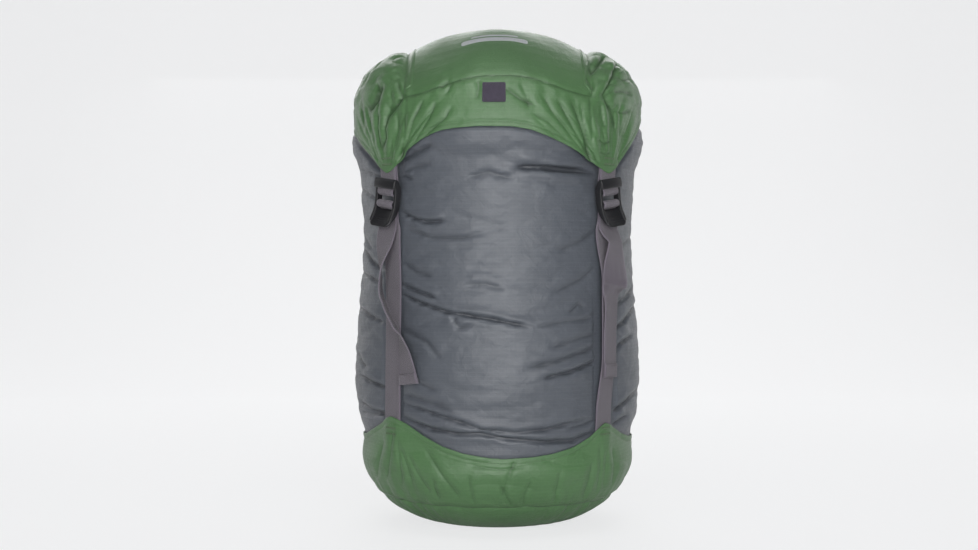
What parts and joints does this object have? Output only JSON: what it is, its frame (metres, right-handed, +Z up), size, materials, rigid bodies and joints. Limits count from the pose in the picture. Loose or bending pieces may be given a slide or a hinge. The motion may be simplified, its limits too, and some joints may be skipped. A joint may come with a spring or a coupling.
{
  "type": "compression stuff sack",
  "caption": "Round fabric stuff sack with a drawcord mouth under a separate cap, drawn down by webbing straps through ladder lock buckles.",
  "frame": {"origin": "centre of the flat patch on the base that the sack stands on", "axes": "+Z up along the sack, -Y towards the front where the label is, +X to the right seen from the front"},
  "size_m": [0.2574, 0.2584, 0.436],
  "materials": {
    "cap_fabric": "green coated ripstop nylon, slight sheen",
    "body_fabric": "grey coated ripstop nylon, slight sheen",
    "binding": "black woven binding tape, matt",
    "webbing": "mauve grey woven nylon webbing, matt",
    "thread": "dark bonded sewing thread",
    "cord": "black braided cord",
    "label_cloth": "plain dark woven label",
    "print_ink": "light grey printed ink, satin",
    "eyelet_metal": "black painted brass, satin",
    "buckle_plastic": "black moulded acetal, satin",
    "plunger_plastic": "black moulded acetal, satin",
    "spring_steel": "bright spring steel"
  },
  "bodies": {
    "base": {"base_panel": "cap_fabric", "base_skirt": "cap_fabric", "base_seam_binding": "binding", "body_tube_lower": "body_fabric", "load_strap_front_left": "webbing", "load_strap_front_right": "webbing", "load_strap_rear_left": "webbing", "load_strap_rear_right": "webbing", "base_bar_tacks": "thread"},
    "mouth": {"body_tube_upper": "body_fabric", "mouth_collar": "body_fabric", "mouth_hem": "body_fabric", "mouth_eyelet": "eyelet_metal", "drawcord": "cord", "cord_end_knot": "cord"},
    "cord_lock": {"cord_lock_barrel": "buckle_plastic", "cord_lock_spring": "spring_steel"},
    "cord_plunger": {"cord_lock_plunger": "plunger_plastic"},
    "cap": {"cap_top_strip": "cap_fabric", "cap_gusset_left": "cap_fabric", "cap_gusset_right": "cap_fabric", "cap_seam_band_left": "cap_fabric", "cap_seam_band_right": "cap_fabric", "cap_skirt": "cap_fabric", "cap_label": "label_cloth", "cap_print": "print_ink", "cap_bar_tacks": "thread", "cap_tab_front_left": "webbing", "cap_tab_front_right": "webbing", "cap_tab_rear_left": "webbing", "cap_tab_rear_right": "webbing", "strap_tail_front_left": "webbing", "strap_tail_front_right": "webbing", "strap_tail_rear_left": "webbing", "strap_tail_rear_right": "webbing"},
    "ladder_lock_body_front_left": {"ladder_lock_front_left": "buckle_plastic", "strap_wrap_front_left": "webbing"},
    "ladder_lock_body_front_right": {"ladder_lock_front_right": "buckle_plastic", "strap_wrap_front_right": "webbing"},
    "ladder_lock_body_rear_left": {"ladder_lock_rear_left": "buckle_plastic", "strap_wrap_rear_left": "webbing"},
    "ladder_lock_body_rear_right": {"ladder_lock_rear_right": "buckle_plastic", "strap_wrap_rear_right": "webbing"}
  },
  "joints": [
    {"name": "compression", "type": "slide", "parent": "base", "child": "mouth", "axis": [0, 0, 1], "range_m": [-0.12, 0], "stiffness_N_per_m": 900},
    {"name": "cap_lift", "type": "slide", "parent": "mouth", "child": "cap", "axis": [0, 0, 1], "range_m": [0, 0.12], "deforming": ["load_strap_front_left", "load_strap_front_right", "load_strap_rear_left", "load_strap_rear_right"]},
    {"name": "ladder_lock_tilt_front_left", "type": "hinge", "parent": "cap", "child": "ladder_lock_body_front_left", "pos_m": [-0.09252, -0.08627, 0.288], "axis": [-0.682, 0.7314, 0], "range_deg": [0, 40], "deforming": ["cap_tab_front_left"]},
    {"name": "ladder_lock_tilt_front_right", "type": "hinge", "parent": "cap", "child": "ladder_lock_body_front_right", "pos_m": [0.09252, -0.08627, 0.288], "axis": [-0.682, -0.7314, 0], "range_deg": [0, 40], "deforming": ["cap_tab_front_right"]},
    {"name": "ladder_lock_tilt_rear_left", "type": "hinge", "parent": "cap", "child": "ladder_lock_body_rear_left", "pos_m": [-0.09252, 0.08627, 0.288], "axis": [0.682, 0.7314, 0], "range_deg": [0, 40], "deforming": ["cap_tab_rear_left"]},
    {"name": "ladder_lock_tilt_rear_right", "type": "hinge", "parent": "cap", "child": "ladder_lock_body_rear_right", "pos_m": [0.09252, 0.08627, 0.288], "axis": [0.682, -0.7314, 0], "range_deg": [0, 40], "deforming": ["cap_tab_rear_right"]},
    {"name": "cord_lock_slide", "type": "slide", "parent": "mouth", "child": "cord_lock", "axis": [0, -1, 0], "range_m": [-0.004, 0.033]},
    {"name": "cord_lock_press", "type": "slide", "parent": "cord_lock", "child": "cord_plunger", "axis": [-1, 0, 0], "range_m": [0, 0.004], "stiffness_N_per_m": 600, "springref_m": -0.003, "deforming": ["cord_lock_spring"]}
  ]
}
